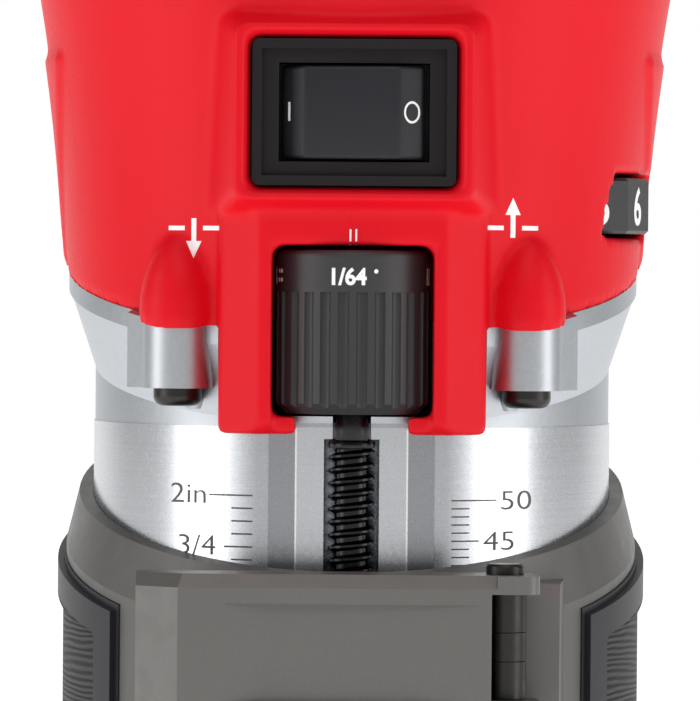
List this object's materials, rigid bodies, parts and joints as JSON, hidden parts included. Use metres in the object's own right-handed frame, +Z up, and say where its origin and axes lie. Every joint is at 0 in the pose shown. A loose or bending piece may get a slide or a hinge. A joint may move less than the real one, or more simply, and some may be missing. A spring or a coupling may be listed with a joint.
{
  "type": "plunge router",
  "caption": "Compact hand router: a motor in a red housing slides in a grey clamp-sleeve base and is set by a fine depth screw.",
  "frame": {"origin": "on the spindle axis at the underside of the sub-base", "axes": "+Z up along the spindle axis, -Y towards the side with the switch and the clamp lever, +X towards the speed dial"},
  "size_m": [0.12, 0.12, 0.208],
  "materials": {
    "aluminium": "fine turned",
    "base_paint": "satin grey, slightly metallic",
    "black_plastic": "satin",
    "board": "circuit board",
    "brass": "drawn",
    "bright_steel": "polished",
    "carbon": "graphite",
    "copper": "enamelled copper",
    "dark_rubber": "matte",
    "dark_steel": "black oxide",
    "gloss_black": "smooth",
    "housing_red": "satin red",
    "laminated_steel": "laminated",
    "steel": "ground"
  },
  "bodies": {
    "base": {"base_casting": "base_paint", "sub_base": "black_plastic", "sub_base_screws": "dark_steel", "grip_pad_left": "dark_rubber", "grip_pad_right": "dark_rubber", "draw_bolt": "steel", "clamp_nut": "steel", "release_pin": "steel", "release_spring": "steel"},
    "motor": {"motor_barrel": "aluminium", "housing_left": "housing_red", "housing_right": "housing_red", "top_cap": "black_plastic", "barrel_screws": "dark_steel", "housing_screws": "dark_steel", "cap_screws": "dark_steel", "switch_body": "black_plastic", "switch_boot": "dark_rubber", "dial_axle": "black_plastic", "speed_module": "black_plastic", "speed_board": "board", "cord_gland": "dark_rubber", "stator_core": "laminated_steel", "field_windings": "copper", "brush_holders": "brass", "brushes": "carbon", "brush_springs": "steel", "lower_bearing_outer": "bright_steel", "lower_bearing_balls": "bright_steel", "upper_bearing_outer": "bright_steel", "upper_bearing_balls": "bright_steel", "bearing_snap_ring": "steel"},
    "depth_screw": {"depth_screw": "dark_steel", "depth_knob": "dark_rubber"},
    "spindle": {"spindle_shaft": "steel", "collet": "steel", "collet_nut": "steel", "rotor_core": "laminated_steel", "rotor_windings": "copper", "commutator": "copper", "cooling_fan": "black_plastic", "lower_bearing_inner": "bright_steel", "upper_bearing_inner": "bright_steel"},
    "clamp_lever": {"clamp_lever": "base_paint", "lever_pin": "dark_steel", "cam_bushings": "bright_steel"},
    "depth_release": {"half_nut": "black_plastic"},
    "speed_dial": {"speed_dial": "black_plastic"},
    "switch_rocker": {"switch_rocker": "gloss_black"}
  },
  "joints": [
    {"name": "depth_slide", "type": "slide", "parent": "base", "child": "motor", "axis": [0, 0, 1], "range_m": [-0.0095, 0.041]},
    {"name": "depth_screw_turn", "type": "hinge", "parent": "motor", "child": "depth_screw", "pos_m": [0, -0.032, 0.1178], "axis": [0, 0, 1], "continuous": true},
    {"name": "spindle_turn", "type": "hinge", "parent": "motor", "child": "spindle", "pos_m": [0, 0, 0.035], "axis": [0, 0, 1], "continuous": true},
    {"name": "speed_dial_turn", "type": "hinge", "parent": "motor", "child": "speed_dial", "pos_m": [0.0225, -0.006, 0.1337], "axis": [0, 0, 1], "range_deg": [0, 150]},
    {"name": "switch_rock", "type": "hinge", "parent": "motor", "child": "switch_rocker", "pos_m": [0, -0.0375, 0.1445], "axis": [0, 0, 1], "range_deg": [0, 10]},
    {"name": "clamp_lever_open", "type": "hinge", "parent": "base", "child": "clamp_lever", "pos_m": [0.0187, -0.0426, 0.08], "axis": [0, 0, 1], "range_deg": [0, 90]},
    {"name": "depth_release_press", "type": "hinge", "parent": "base", "child": "depth_release", "pos_m": [0, -0.0365, 0.0615], "axis": [1, 0, 0], "range_deg": [0, 8], "stiffness_Nm_per_rad": 0.3, "springref_deg": -5.73, "deforming": ["release_spring"]}
  ],
  "couplings": [
    {"joint": "depth_screw_turn", "follows": "depth_slide", "rad_per_m": 3957.9}
  ]
}
